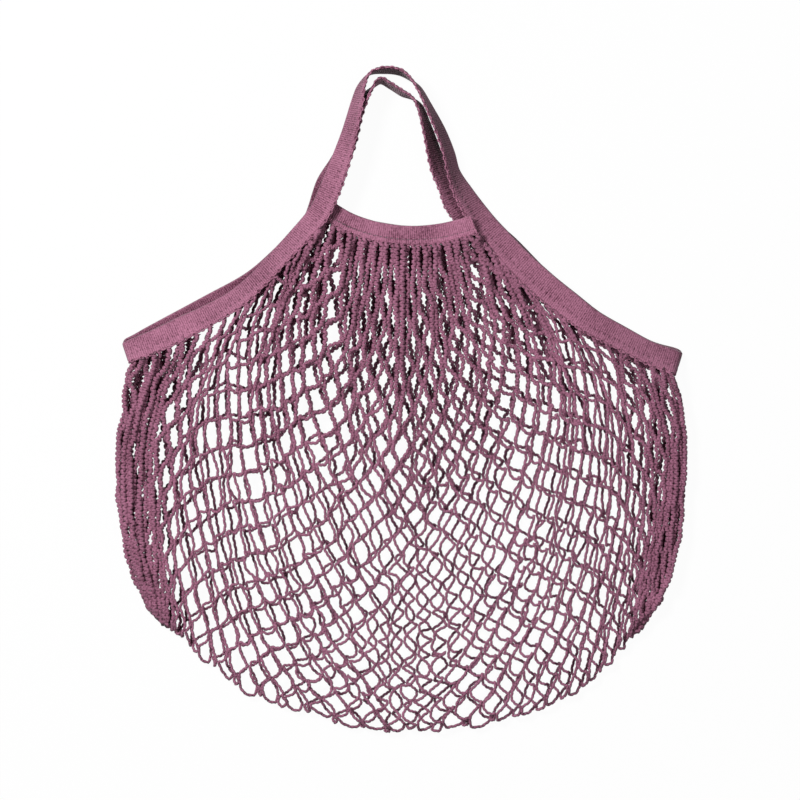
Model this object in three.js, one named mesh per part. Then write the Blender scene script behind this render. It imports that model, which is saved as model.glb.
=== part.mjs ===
import * as THREE from 'three';

// A knitted string shopping bag lying flat: a net pocket hung from two short gathered
// centre bands and from one endless knitted band, which makes both edges of the mouth
// and both handles. X runs across the bag, Y up it towards the handles, Z off the floor.
// Everything is worked out in millimetres from the line between the two mouth corners,
// and the finished bag is moved so that its origin is under the middle of its outline.

// Net pocket
const netHalfWidth = 200;
const netDepth = 261;
const netThickness = 2;
const strandWidth = 6;
const hemDepth = 8;
const netFoldReach = 9;
const billowHeight = 3;

// Mouth and handles
const mouthRise = 98;
const rootReach = 57;
const handleHeight = 105;
const layerSpacing = 9;

// Bands
const bandWidth = 20;
const bandThickness = 1.8;
const bandFoldReach = 6;
const centreBandWidth = 14.5;
const centreBandThickness = 1.4;
const centreBandSag = 13;
const clearance = 0.3;
const hemClearance = 0.5;

// Fineness of the faceted pieces
const bandStep = 6;
const netColumns = 14;
const netRows = 10;
const hemSteps = 4;
const outlineSamples = 240;

// The endless band, as sections along its centre line. heading is the way its scalloped
// net edge points in plan, tilt how far that edge is raised, both in degrees, and lift
// is how high its lowest edge lies, as a share of the spacing between the two layers.
// On the handles x is a share of rootReach and up a share of handleHeight.
const frontHandleRows = [
  { x: -0.99, up: 0.03, lift: 0.3, heading: -36, tilt: 38 },
  { x: -0.85, up: 0.19, lift: 0.6, heading: -25, tilt: 38 },
  { x: -0.72, up: 0.38, lift: 0.6, heading: -19, tilt: 45 },
  { x: -0.61, up: 0.57, lift: 0.48, heading: -17, tilt: 55 },
  { x: -0.52, up: 0.76, lift: 0.42, heading: -16, tilt: 63 },
  { x: -0.47, up: 0.87, lift: 0.12, heading: -25, tilt: 74 },
  { x: -0.37, up: 0.955, lift: 0.02, heading: -48, tilt: 88 },
  { x: -0.18, up: 0.98, lift: 0.02, heading: -90, tilt: 99 },
  { x: 0.01, up: 0.965, lift: 0.02, heading: -105, tilt: 98 },
  { x: 0.12, up: 0.925, lift: 0.02, heading: -132, tilt: 91 },
  { x: 0.23, up: 0.86, lift: 0.02, heading: -148, tilt: 81 },
  { x: 0.34, up: 0.75, lift: 0.02, heading: -153, tilt: 76 },
  { x: 0.5, up: 0.57, lift: 0.02, heading: -156, tilt: 68 },
  { x: 0.6, up: 0.42, lift: 0.04, heading: -158, tilt: 64 },
  { x: 0.65, up: 0.31, lift: 0.06, heading: -160, tilt: 62 },
  { x: 0.76, up: 0.18, lift: 0.16, heading: -153, tilt: 45 },
];
const backHandleRows = [
  { x: 0.93, up: -0.04, lift: 0, heading: -142, tilt: 6 },
  { x: 0.69, up: 0.1, lift: 0, heading: -150, tilt: 22 },
  { x: 0.6, up: 0.21, lift: 0, heading: -158, tilt: 36 },
  { x: 0.48, up: 0.33, lift: 0.02, heading: -162, tilt: 50 },
  { x: 0.33, up: 0.6, lift: 0.02, heading: -163, tilt: 70 },
  { x: 0.24, up: 0.74, lift: 0.02, heading: -152, tilt: 78 },
  { x: 0.16, up: 0.79, lift: 0.02, heading: -128, tilt: 89 },
  { x: 0.02, up: 0.83, lift: 0.02, heading: -113, tilt: 98 },
  { x: -0.11, up: 0.875, lift: 0.02, heading: -112, tilt: 98 },
  { x: -0.24, up: 0.91, lift: 0.02, heading: -88, tilt: 98 },
  { x: -0.34, up: 0.86, lift: 0.02, heading: -45, tilt: 85 },
  { x: -0.49, up: 0.75, lift: 0.02, heading: -30, tilt: 62 },
  { x: -0.63, up: 0.5, lift: 0.02, heading: -20, tilt: 54 },
  { x: -0.745, up: 0.36, lift: 0, heading: -22, tilt: 42 },
  { x: -0.87, up: 0.22, lift: 0, heading: -26, tilt: 22 },
];
// On the mouth edges out is a share of the way from root to side, and up of mouthRise.
const frontRightRows = [
  { out: 0.005, up: 0.97, lift: 0.28, heading: -143, tilt: 28 },
  { out: 0.09, up: 0.83, lift: 0.45, heading: -135, tilt: 24 },
  { out: 0.19, up: 0.67, lift: 0.85, heading: -132, tilt: 12 },
  { out: 0.3, up: 0.52, lift: 1, heading: -129, tilt: 4 },
  { out: 0.42, up: 0.38, lift: 0.95, heading: -126, tilt: 8 },
  { out: 0.54, up: 0.25, lift: 0.8, heading: -122, tilt: 20 },
  { out: 0.68, up: 0.14, lift: 0.65, heading: -118, tilt: 29 },
  { out: 0.81, up: 0.04, lift: 0.6, heading: -114, tilt: 31 },
];
const backRightRows = [
  { out: 0.81, up: 0.027, lift: 0, heading: -114, tilt: 0 },
  { out: 0.54, up: 0.24, lift: 0, heading: -122, tilt: 0 },
  { out: 0.3, up: 0.52, lift: 0, heading: -129, tilt: 0 },
  { out: 0.1, up: 0.81, lift: 0, heading: -136, tilt: 2 },
];
const backLeftRows = [
  { out: 0.03, up: 0.91, lift: 0, heading: -41, tilt: 4 },
  { out: 0.16, up: 0.72, lift: 0, heading: -49, tilt: 2 },
  { out: 0.31, up: 0.53, lift: 0, heading: -56, tilt: 1 },
  { out: 0.53, up: 0.35, lift: 0, heading: -61, tilt: 0 },
  { out: 0.81, up: 0.13, lift: 0, heading: -66, tilt: 0 },
];
const frontLeftRows = [
  { out: 0.8, up: 0.115, lift: 0.42, heading: -67, tilt: 31 },
  { out: 0.67, up: 0.205, lift: 0.38, heading: -65, tilt: 30 },
  { out: 0.54, up: 0.3, lift: 0.34, heading: -61, tilt: 38 },
  { out: 0.41, up: 0.41, lift: 0.3, heading: -57, tilt: 43 },
  { out: 0.3, up: 0.545, lift: 0.3, heading: -51, tilt: 45 },
  { out: 0.2, up: 0.7, lift: 0.3, heading: -47, tilt: 45 },
  { out: 0.1, up: 0.855, lift: 0.3, heading: -42, tilt: 43 },
];

// Where the band turns under at a mouth corner: its outermost point and its lean there.
const mouthCorners = {
  right: { side: 1, out: 0.96, up: -0.04, heading: -109, tilt: 30 },
  left: { side: -1, out: 0.936, up: 0.038, heading: -69, tilt: 40 },
};
// One turn from the front layer to the back. reach is a share of the fold's reach and
// lean a share of the corner's tilt.
const turnRows = [
  { reach: 0, lift: 0.5, lean: 0.9 },
  { reach: 0.7, lift: 0.36, lean: 1 },
  { reach: 1, lift: 0.1, lean: 1 },
  { reach: 0.7, lift: 0, lean: 0.5 },
  { reach: 0, lift: 0, lean: 0 },
];

// The centre bands, from left to right: x in shares of rootReach, drop in shares of
// the sag below the handle roots.
const frontCentreRows = [
  { x: -0.895, drop: -0.4, lift: 1, heading: -119 },
  { x: -0.64, drop: 0.26, lift: 1, heading: -114 },
  { x: -0.4, drop: 0.65, lift: 1, heading: -107 },
  { x: -0.17, drop: 0.88, lift: 1, heading: -97 },
  { x: 0.18, drop: 1, lift: 1, heading: -88 },
  { x: 0.52, drop: 0.86, lift: 1.04, heading: -82 },
  { x: 0.76, drop: 0.62, lift: 1.43, heading: -75 },
  { x: 0.91, drop: 0.43, lift: 1.88, heading: -68 },
];
const backCentreRows = [
  { x: -0.83, drop: 0.15, lift: 0, heading: -108 },
  { x: -0.4, drop: 0.65, lift: 0, heading: -103 },
  { x: 0.18, drop: 1, lift: 0, heading: -88 },
  { x: 0.52, drop: 0.86, lift: 0, heading: -76 },
  { x: 0.7, drop: 0.64, lift: 0, heading: -62 },
];

// The net's folded outline, down the left side, along the bottom and up the right side.
const leftOutlineRows = [
  { x: -0.962, down: 0.05 },
  { x: -0.988, down: 0.137 },
  { x: -1, down: 0.3 },
  { x: -0.985, down: 0.45 },
  { x: -0.925, down: 0.586 },
  { x: -0.86, down: 0.677 },
];
const bottomOutlineRows = [
  { x: -0.74, down: 0.772 },
  { x: -0.635, down: 0.849 },
  { x: -0.54, down: 0.895 },
  { x: -0.35, down: 0.945 },
  { x: -0.17, down: 0.987 },
  { x: 0.03, down: 1 },
  { x: 0.3, down: 0.98 },
  { x: 0.49, down: 0.946 },
  { x: 0.657, down: 0.882 },
  { x: 0.774, down: 0.784 },
];
const rightOutlineRows = [
  { x: 0.863, down: 0.69 },
  { x: 0.93, down: 0.562 },
  { x: 0.985, down: 0.42 },
  { x: 1, down: 0.3 },
  { x: 0.995, down: 0.15 },
  { x: 0.975, down: 0.09 },
];

// How the net's columns crowd together at the centre band: a row for each bend in the
// spacing, with the share of the columns and the share of the mouth's edge.
const gatherRows = [
  { column: 0, edge: 0 },
  { column: 0.32, edge: 0.38 },
  { column: 0.68, edge: 0.62 },
  { column: 1, edge: 1 },
];
// Soft rises of the front layer, placed by shares of its columns and rows.
const billowRows = [
  { column: 0.3, row: 0.2, spread: 0.16, rise: 0.7 },
  { column: 0.62, row: 0.22, spread: 0.14, rise: 1 },
  { column: 0.42, row: 0.62, spread: 0.18, rise: 0.8 },
  { column: 0.74, row: 0.6, spread: 0.16, rise: 0.6 },
];

const degree = Math.PI / 180;
const loopSize = { width: bandWidth, thickness: bandThickness };
const centreSize = { width: centreBandWidth, thickness: centreBandThickness };

// A station is a section of a band in real lengths.
function station(x, y, lift, heading, tilt, size) {
  const z = lift * layerSpacing + restingHeight(tilt * degree, size);
  return { place: new THREE.Vector3(x, y, z), turn: new THREE.Vector3(heading, tilt, 0) };
}

// How high the middle of a band lies when its lowest edge is on the floor.
function restingHeight(lean, { width, thickness }) {
  return width / 2 * Math.abs(Math.sin(lean)) + thickness / 2 * Math.abs(Math.cos(lean));
}

function loopStation(x, y, row) {
  return station(x, y, row.lift, row.heading, row.tilt, loopSize);
}

function handleStation(row) {
  return loopStation(row.x * rootReach, mouthRise + row.up * handleHeight, row);
}

function edgeStation(side, row) {
  const x = side * (rootReach + row.out * (netHalfWidth - rootReach));
  return loopStation(x, row.up * mouthRise, row);
}

function cornerStations(corner) {
  const outermost = edgeStation(corner.side, { ...corner, lift: 0 }).place;
  const heading = corner.heading * degree;
  const outward = new THREE.Vector2(-Math.sin(heading), Math.cos(heading)).multiplyScalar(bandFoldReach);
  if (outward.x * corner.side < 0) outward.negate();
  return turnRows.map((row) => loopStation(
    outermost.x - outward.x * (1 - row.reach),
    outermost.y - outward.y * (1 - row.reach),
    { lift: row.lift, heading: corner.heading, tilt: corner.tilt * row.lean },
  ));
}

// The whole loop in order, with the places where one named stretch ends and the next starts.
const rightTurn = cornerStations(mouthCorners.right);
const leftTurn = cornerStations(mouthCorners.left).reverse();
const loop = [
  ...frontHandleRows.map(handleStation),
  ...frontRightRows.map((row) => edgeStation(1, row)),
  ...rightTurn,
  ...backRightRows.map((row) => edgeStation(1, row)),
  ...backHandleRows.map(handleStation),
  ...backLeftRows.map((row) => edgeStation(-1, row)),
  ...leftTurn,
  ...frontLeftRows.map((row) => edgeStation(-1, row)),
];
const frontLeftRoot = 0;
const frontRightRoot = frontHandleRows.length;
const rightTurnStart = frontRightRoot + frontRightRows.length;
const backRightRoot = rightTurnStart + rightTurn.length + backRightRows.length;
const backLeftRoot = backRightRoot + backHandleRows.length;
const leftTurnStart = backLeftRoot + backLeftRows.length;

function curvesThrough(stations, closed, size) {
  return {
    size,
    place: new THREE.CatmullRomCurve3(stations.map((s) => s.place), closed),
    turn: new THREE.CatmullRomCurve3(stations.map((s) => s.turn), closed),
    spans: closed ? stations.length : stations.length - 1,
  };
}

// A section at a position counted in stations: its centre and the way to its net edge.
function sectionAt(curves, position) {
  const share = position / curves.spans;
  const centre = curves.place.getPoint(share);
  const turn = curves.turn.getPoint(share);
  const heading = turn.x * degree;
  const tilt = turn.y * degree;
  centre.z = Math.max(centre.z, restingHeight(tilt, curves.size));
  const across = new THREE.Vector3(
    Math.cos(tilt) * Math.cos(heading),
    Math.cos(tilt) * Math.sin(heading),
    Math.sin(tilt),
  );
  return { centre, across, tilt };
}

function sectionsBetween(curves, from, to, trim) {
  const sections = [];
  for (let span = from; span < to; span += 1) {
    const next = Math.min(span + 1, to);
    const length = sectionAt(curves, span).centre.distanceTo(sectionAt(curves, next).centre);
    const steps = Math.max(1, Math.round(length / bandStep));
    for (let step = 0; step < steps; step += 1) {
      const back = span === from && step === 0 ? trim / length : 0;
      sections.push(sectionAt(curves, span + step / steps + back));
    }
    if (next === to) sections.push(sectionAt(curves, to - trim / length));
  }
  return sections;
}

// A surface without thickness, as points and triangles that share them.
function newSurface() {
  return { points: [], faces: [], known: new Map() };
}

function pointNumber(surface, key, makePoint) {
  if (!surface.known.has(key)) {
    surface.known.set(key, surface.points.length);
    surface.points.push(makePoint());
  }
  return surface.known.get(key);
}

// Turns such a surface into a closed wall: both faces, and a rim along every open edge.
function thicken(surface, thickness) {
  const normals = surface.points.map(() => new THREE.Vector3());
  const edges = new Map();
  for (const [a, b, c] of surface.faces) {
    const pa = surface.points[a];
    const ab = surface.points[b].clone().sub(pa);
    const ac = surface.points[c].clone().sub(pa);
    const normal = ab.cross(ac);
    for (const corner of [a, b, c]) normals[corner].add(normal);
    for (const [from, to] of [[a, b], [b, c], [c, a]]) edges.set(`${from},${to}`, [from, to]);
  }
  const count = surface.points.length;
  const positions = [];
  for (const half of [thickness / 2, -thickness / 2]) {
    surface.points.forEach((point, i) => {
      const normal = normals[i].clone().normalize();
      positions.push(...point.clone().addScaledVector(normal, half).toArray());
    });
  }
  const indices = [];
  for (const [a, b, c] of surface.faces) {
    indices.push(a, b, c);
    indices.push(c + count, b + count, a + count);
  }
  for (const [from, to] of edges.values()) {
    if (edges.has(`${to},${from}`)) continue;
    indices.push(to, from, from + count);
    indices.push(to, from + count, to + count);
  }
  const geometry = new THREE.BufferGeometry();
  geometry.setAttribute('position', new THREE.Float32BufferAttribute(positions, 3));
  geometry.setIndex(indices);
  geometry.computeVertexNormals();
  return geometry;
}

function ribbon(sections, { width, thickness }) {
  const surface = newSurface();
  sections.forEach(({ centre, across }) => {
    surface.points.push(centre.clone().addScaledVector(across, -width / 2));
    surface.points.push(centre.clone().addScaledVector(across, width / 2));
  });
  for (let i = 0; i + 1 < sections.length; i += 1) {
    const plain = 2 * i;
    surface.faces.push([plain, plain + 1, plain + 3], [plain, plain + 3, plain + 2]);
  }
  return thicken(surface, thickness);
}

const loopCurves = curvesThrough(loop, true, loopSize);

function loopStretch(from, to) {
  return ribbon(sectionsBetween(loopCurves, from, to, clearance / 2), loopSize);
}

function centreCurves(rows) {
  return curvesThrough(rows.map((row) => station(
    row.x * rootReach,
    mouthRise - row.drop * centreBandSag,
    row.lift,
    row.heading,
    0,
    centreSize,
  )), false, centreSize);
}

const centreBands = { front: centreCurves(frontCentreRows), back: centreCurves(backCentreRows) };

function centreBand(layer) {
  const curves = centreBands[layer];
  return ribbon(sectionsBetween(curves, 0, curves.spans, 0), centreSize);
}

// A line of points with the distance run at each, and the point at a share of its length.
function measured(points) {
  const run = [0];
  for (let i = 1; i < points.length; i += 1) run.push(run[i - 1] + points[i].distanceTo(points[i - 1]));
  return { points, run };
}

function along(line, share) {
  const goal = THREE.MathUtils.clamp(share, 0, 1) * line.run.at(-1);
  let i = 1;
  while (i < line.run.length - 1 && line.run[i] < goal) i += 1;
  const part = (goal - line.run[i - 1]) / (line.run[i] - line.run[i - 1]);
  return line.points[i - 1].clone().lerp(line.points[i], part);
}

// The net's top edge runs just clear of the bands' net edges, also where both sheets
// slope away from their shared edge.
function besideEdge(section, { width }) {
  const gap = hemClearance + netThickness * Math.abs(Math.sin(section.tilt));
  const point = section.centre.clone().addScaledVector(section.across, width / 2 + gap);
  point.z = Math.max(point.z, netThickness / 2);
  return point;
}

function besideLoop(from, to) {
  return sectionsBetween(loopCurves, from, to, 0).map((section) => besideEdge(section, loopSize));
}

function besideCentreBand(layer) {
  const curves = centreBands[layer];
  return sectionsBetween(curves, 0, curves.spans, 0).map((section) => besideEdge(section, centreSize));
}

// Draws a line on past both its ends, so that neighbours surely meet.
function prolonged(points) {
  const before = points[0].clone().sub(points[1]).setLength(bandWidth);
  const after = points.at(-1).clone().sub(points.at(-2)).setLength(bandWidth);
  return [points[0].clone().add(before), ...points, points.at(-1).clone().add(after)];
}

// The place where two lines cross in plan, as the index of the piece of each.
function crossing(first, second) {
  for (let i = 0; i + 1 < first.length; i += 1) {
    for (let k = 0; k + 1 < second.length; k += 1) {
      const a = first[i + 1].clone().sub(first[i]);
      const b = second[k + 1].clone().sub(second[k]);
      const apart = second[k].clone().sub(first[i]);
      const spread = a.x * b.y - a.y * b.x;
      const onFirst = (apart.x * b.y - apart.y * b.x) / spread;
      const onSecond = (apart.x * a.y - apart.y * a.x) / spread;
      if (onFirst < 0 || onFirst > 1 || onSecond < 0 || onSecond > 1) continue;
      const point = second[k].clone().addScaledVector(b, onSecond);
      point.z = Math.max(point.z, first[i].z + a.z * onFirst);
      return { i, k, point };
    }
  }
  throw new Error('a centre band does not reach the handle root');
}

// The net's whole top edge in one layer, cut where the lines beside its bands cross.
function joinedEdge(left, middle, right) {
  const longLeft = prolonged(left);
  const longMiddle = prolonged(middle);
  const longRight = prolonged(right);
  const start = crossing(longLeft, longMiddle);
  const end = crossing(longMiddle, longRight);
  return measured([
    ...longLeft.slice(1, start.i + 1),
    start.point,
    ...longMiddle.slice(start.k + 1, end.i + 1),
    end.point,
    ...longRight.slice(end.k + 1, -1),
  ]);
}

const loopEnd = loop.length;
const turnLast = turnRows.length - 1;
const topEdges = {
  front: joinedEdge(
    besideLoop(leftTurnStart + turnLast, loopEnd),
    besideCentreBand('front'),
    besideLoop(frontRightRoot, rightTurnStart),
  ),
  back: joinedEdge(
    besideLoop(backLeftRoot, leftTurnStart).reverse(),
    besideCentreBand('back'),
    besideLoop(rightTurnStart + turnLast, backRightRoot).reverse(),
  ),
};

function outlinePoint(row) {
  return new THREE.Vector3(row.x * netHalfWidth, -row.down * netDepth, 0);
}

const outlineRows = [...leftOutlineRows, ...bottomOutlineRows, ...rightOutlineRows];
const outlineCurve = new THREE.CatmullRomCurve3(outlineRows.map(outlinePoint));

function outlineStretch(from, to) {
  const points = [];
  const spans = outlineRows.length - 1;
  for (let i = 0; i <= outlineSamples; i += 1) {
    const position = from + (to - from) * i / outlineSamples;
    points.push(outlineCurve.getPoint(position / spans));
  }
  return measured(points);
}

const bottomStart = leftOutlineRows.length - 1;
const rightStart = leftOutlineRows.length + bottomOutlineRows.length;
const outline = {
  left: outlineStretch(0, bottomStart),
  bottom: outlineStretch(bottomStart, rightStart),
  right: outlineStretch(outlineRows.length - 1, rightStart),
};

// The pocket's rim is a fold: rows round it go from the front layer over the outline
// to the back layer. side names the stretch, share is the way along it.
const netBackHeight = netThickness / 2;
const netMiddle = netBackHeight + layerSpacing / 2;
const foldSteps = turnRows.length - 1;

function rimPoint(side, share, foldStep) {
  const line = outline[side];
  const near = along(line, share);
  const ahead = along(line, Math.min(1, share + 0.02));
  const behind = along(line, Math.max(0, share - 0.02));
  const forward = ahead.sub(behind).normalize();
  const inward = new THREE.Vector3(-forward.y, forward.x, 0);
  if (side === 'right') inward.negate();
  const angle = Math.PI / 2 - Math.PI * foldStep / foldSteps;
  near.addScaledVector(inward, netFoldReach * (1 - Math.cos(angle)));
  near.z = netMiddle + layerSpacing / 2 * Math.sin(angle);
  return near;
}

function edgeShare(columnShare) {
  const last = gatherRows.length - 1;
  let i = 1;
  while (i < last && gatherRows[i].column < columnShare) i += 1;
  const before = gatherRows[i - 1];
  const after = gatherRows[i];
  const part = (columnShare - before.column) / (after.column - before.column);
  return before.edge + part * (after.edge - before.edge);
}

function layerHeight(layer) {
  return layer === 'front' ? netBackHeight + layerSpacing : netBackHeight;
}

// The line under the hem, where the open net starts.
function hemPoint(layer, column) {
  const foldStep = layer === 'front' ? 0 : foldSteps;
  if (column === 0) return rimPoint('left', 0, foldStep);
  if (column === netColumns) return rimPoint('right', 0, foldStep);
  const point = along(topEdges[layer], edgeShare(column / netColumns));
  point.y -= hemDepth;
  point.z = (point.z + layerHeight(layer)) / 2;
  return point;
}

function hemBetween(layer, column) {
  const low = Math.floor(column);
  if (low === column) return hemPoint(layer, column);
  return hemPoint(layer, low).lerp(hemPoint(layer, low + 1), column - low);
}

function billow(columnShare, rowShare) {
  let rise = 0;
  for (const row of billowRows) {
    const far = Math.hypot(columnShare - row.column, rowShare - row.row) / row.spread;
    if (far < 1) rise += row.rise * (1 + Math.cos(Math.PI * far)) / 2;
  }
  return rise * billowHeight;
}

// A point of one layer, spread evenly between its four edges.
function netPoint(layer, column, row) {
  const foldStep = layer === 'front' ? 0 : foldSteps;
  const u = column / netColumns;
  const v = row / netRows;
  const top = hemBetween(layer, column);
  const bottom = rimPoint('bottom', u, foldStep);
  const left = rimPoint('left', v, foldStep);
  const right = rimPoint('right', v, foldStep);
  const point = top.clone().multiplyScalar(1 - v).addScaledVector(bottom, v);
  point.addScaledVector(left, 1 - u).addScaledVector(right, u);
  point.addScaledVector(rimPoint('left', 0, foldStep), -(1 - u) * (1 - v));
  point.addScaledVector(rimPoint('right', 0, foldStep), -u * (1 - v));
  point.addScaledVector(rimPoint('left', 1, foldStep), -(1 - u) * v);
  point.addScaledVector(rimPoint('right', 1, foldStep), -u * v);
  const raised = Math.max(0, 1 - row) * (top.z - layerHeight(layer));
  point.z = layerHeight(layer) + raised;
  if (layer === 'front') point.z += billow(u, v);
  return point;
}

// Eight points round one diamond of the net, anticlockwise from its top.
const diamondRing = [
  { column: 0, row: -1 },
  { column: -0.5, row: -0.5 },
  { column: -1, row: 0 },
  { column: -0.5, row: 0.5 },
  { column: 0, row: 1 },
  { column: 0.5, row: 0.5 },
  { column: 1, row: 0 },
  { column: 0.5, row: -0.5 },
];

function inLayer({ column, row }) {
  return column >= 0 && column <= netColumns && row >= 0 && row <= netRows;
}

function openingScale(ring) {
  const middle = ring.reduce((sum, p) => sum.add(p), new THREE.Vector3()).divideScalar(ring.length);
  let area = 0;
  let round = 0;
  ring.forEach((p, i) => {
    const q = ring[(i + 1) % ring.length];
    area += p.clone().sub(middle).cross(q.clone().sub(middle)).length() / 2;
    round += p.distanceTo(q);
  });
  const innerRadius = 2 * area / round;
  return { middle, scale: Math.max(0.2, 1 - strandWidth / 2 / innerRadius) };
}

function netSurface() {
  const surface = newSurface();
  const netNumber = (layer, column, row) => {
    const onRim = (column === 0 || column === netColumns || row === netRows);
    const name = `${layer} ${column} ${row}`;
    if (!onRim) return pointNumber(surface, name, () => netPoint(layer, column, row));
    return rimNumber(column, row, layer === 'front' ? 0 : foldSteps);
  };
  const rimPlace = (column, row, foldStep) => {
    if (column === 0) return rimPoint('left', row / netRows, foldStep);
    if (column === netColumns) return rimPoint('right', row / netRows, foldStep);
    return rimPoint('bottom', column / netColumns, foldStep);
  };
  const rimNumber = (column, row, foldStep) => {
    const name = `rim ${column} ${row} ${foldStep}`;
    return pointNumber(surface, name, () => rimPlace(column, row, foldStep));
  };
  const addFace = (layer, a, b, c) => surface.faces.push(layer === 'front' ? [a, b, c] : [a, c, b]);

  for (const layer of ['front', 'back']) {
    const parity = layer === 'front' ? 1 : 0;
    for (let row = 0; row <= netRows; row += 1) {
      for (let column = 0; column <= netColumns; column += 1) {
        if ((row + column) % 2 !== parity) continue;
        const ring = diamondRing.map((p) => ({ column: column + p.column, row: row + p.row }));
        const whole = ring.every(inLayer);
        if (whole) addOpenDiamond(surface, layer, ring, netNumber, addFace, `${column} ${row}`);
        else addEdgePiece(layer, { column, row }, ring, netNumber, addFace);
      }
    }
    addHem(surface, layer, netNumber, addFace);
  }
  addRim(surface, rimNumber);
  return surface;
}

function addOpenDiamond(surface, layer, ring, netNumber, addFace, name) {
  const outer = ring.map((p) => netNumber(layer, p.column, p.row));
  const { middle, scale } = openingScale(outer.map((n) => surface.points[n]));
  const inner = outer.map((n, i) => pointNumber(surface, `${layer} opening ${name} ${i}`, () => (
    surface.points[n].clone().sub(middle).multiplyScalar(scale).add(middle)
  )));
  outer.forEach((n, i) => {
    const next = (i + 1) % outer.length;
    addFace(layer, n, outer[next], inner[next]);
    addFace(layer, n, inner[next], inner[i]);
  });
}

function addEdgePiece(layer, centre, ring, netNumber, addFace) {
  const middle = netNumber(layer, centre.column, centre.row);
  ring.forEach((p, i) => {
    const q = ring[(i + 1) % ring.length];
    if (!inLayer(p) || !inLayer(q)) return;
    addFace(layer, middle, netNumber(layer, p.column, p.row), netNumber(layer, q.column, q.row));
  });
}

function topNumber(surface, layer, step) {
  const last = netColumns * hemSteps;
  if (step === 0) return turnNumber(surface, 'left', layer === 'front' ? 0 : foldSteps);
  if (step === last) return turnNumber(surface, 'right', layer === 'front' ? 0 : foldSteps);
  return pointNumber(surface, `${layer} top ${step}`, () => along(topEdges[layer], edgeShare(step / last)));
}

// The net's top edge where the band turns under at a corner.
function turnNumber(surface, side, foldStep) {
  return pointNumber(surface, `${side} turn ${foldStep}`, () => {
    const number = side === 'left' ? leftTurnStart + turnLast - foldStep : rightTurnStart + foldStep;
    return besideEdge(sectionAt(loopCurves, number), loopSize);
  });
}

function addHem(surface, layer, netNumber, addFace) {
  for (let column = 0; column < netColumns; column += 1) {
    const low = netNumber(layer, column, 0);
    const nextLow = netNumber(layer, column + 1, 0);
    const half = hemSteps / 2;
    for (let step = 0; step < hemSteps; step += 1) {
      const top = topNumber(surface, layer, column * hemSteps + step);
      const nextTop = topNumber(surface, layer, column * hemSteps + step + 1);
      if (step === half) addFace(layer, low, nextLow, top);
      addFace(layer, step < half ? low : nextLow, nextTop, top);
    }
  }
}

function addRim(surface, rimNumber) {
  const places = [];
  for (let row = 0; row <= netRows; row += 1) places.push([0, row]);
  for (let column = 1; column < netColumns; column += 1) places.push([column, netRows]);
  for (let row = netRows; row >= 0; row -= 1) places.push([netColumns, row]);
  const columns = places.map(([column, row]) => (foldStep) => rimNumber(column, row, foldStep));
  columns.unshift((foldStep) => turnNumber(surface, 'left', foldStep));
  columns.push((foldStep) => turnNumber(surface, 'right', foldStep));
  for (let i = 0; i + 1 < columns.length; i += 1) {
    for (let foldStep = 0; foldStep < foldSteps; foldStep += 1) {
      const a = columns[i](foldStep);
      const b = columns[i](foldStep + 1);
      const c = columns[i + 1](foldStep + 1);
      const d = columns[i + 1](foldStep);
      surface.faces.push([a, b, c], [a, c, d]);
    }
  }
}

const part = new THREE.Group();

function addPiece(name, geometry, colour, roughness) {
  const material = new THREE.MeshStandardMaterial({ color: colour, roughness, metalness: 0 });
  const mesh = new THREE.Mesh(geometry, material);
  mesh.name = name;
  part.add(mesh);
}

addPiece('net_body', thicken(netSurface(), netThickness), 0x8c5270, 0.9);
addPiece('centre_band_front', centreBand('front'), 0x9a6080, 0.88);
addPiece('centre_band_back', centreBand('back'), 0x9a6080, 0.88);
addPiece('handle_front', loopStretch(frontLeftRoot, frontRightRoot), 0xa66a8e, 0.85);
addPiece('edge_band_right', loopStretch(frontRightRoot, backRightRoot), 0x9c6282, 0.85);
addPiece('handle_back', loopStretch(backRightRoot, backLeftRoot), 0x965a7a, 0.85);
addPiece('edge_band_left', loopStretch(backLeftRoot, loopEnd), 0xa66a8e, 0.85);

const bounds = new THREE.Box3().setFromObject(part, true);
const middle = bounds.getCenter(new THREE.Vector3());
part.position.set(-middle.x, -middle.y, -bounds.min.z);

export default part;
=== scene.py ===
import math
import bpy
import numpy as np
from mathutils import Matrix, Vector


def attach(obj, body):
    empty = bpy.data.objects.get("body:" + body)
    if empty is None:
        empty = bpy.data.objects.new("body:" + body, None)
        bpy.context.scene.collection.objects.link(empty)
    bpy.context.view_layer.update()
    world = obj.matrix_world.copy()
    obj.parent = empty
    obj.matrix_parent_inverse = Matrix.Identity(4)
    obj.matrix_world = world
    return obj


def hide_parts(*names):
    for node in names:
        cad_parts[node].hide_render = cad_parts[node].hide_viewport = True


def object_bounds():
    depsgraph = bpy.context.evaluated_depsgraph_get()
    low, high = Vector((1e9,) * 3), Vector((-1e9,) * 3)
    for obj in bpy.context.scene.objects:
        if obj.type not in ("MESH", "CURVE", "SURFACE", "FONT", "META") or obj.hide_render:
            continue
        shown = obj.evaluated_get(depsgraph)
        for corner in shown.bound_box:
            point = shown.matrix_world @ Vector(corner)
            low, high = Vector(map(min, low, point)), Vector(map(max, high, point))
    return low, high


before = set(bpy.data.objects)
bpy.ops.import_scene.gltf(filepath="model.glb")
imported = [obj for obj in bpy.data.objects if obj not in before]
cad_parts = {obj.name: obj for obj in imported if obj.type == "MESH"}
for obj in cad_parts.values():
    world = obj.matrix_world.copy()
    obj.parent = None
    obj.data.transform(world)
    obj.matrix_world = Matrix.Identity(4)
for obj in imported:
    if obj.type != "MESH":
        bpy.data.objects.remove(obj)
cadLow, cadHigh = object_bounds()
print("frame loaded:", sorted(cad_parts))

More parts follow.
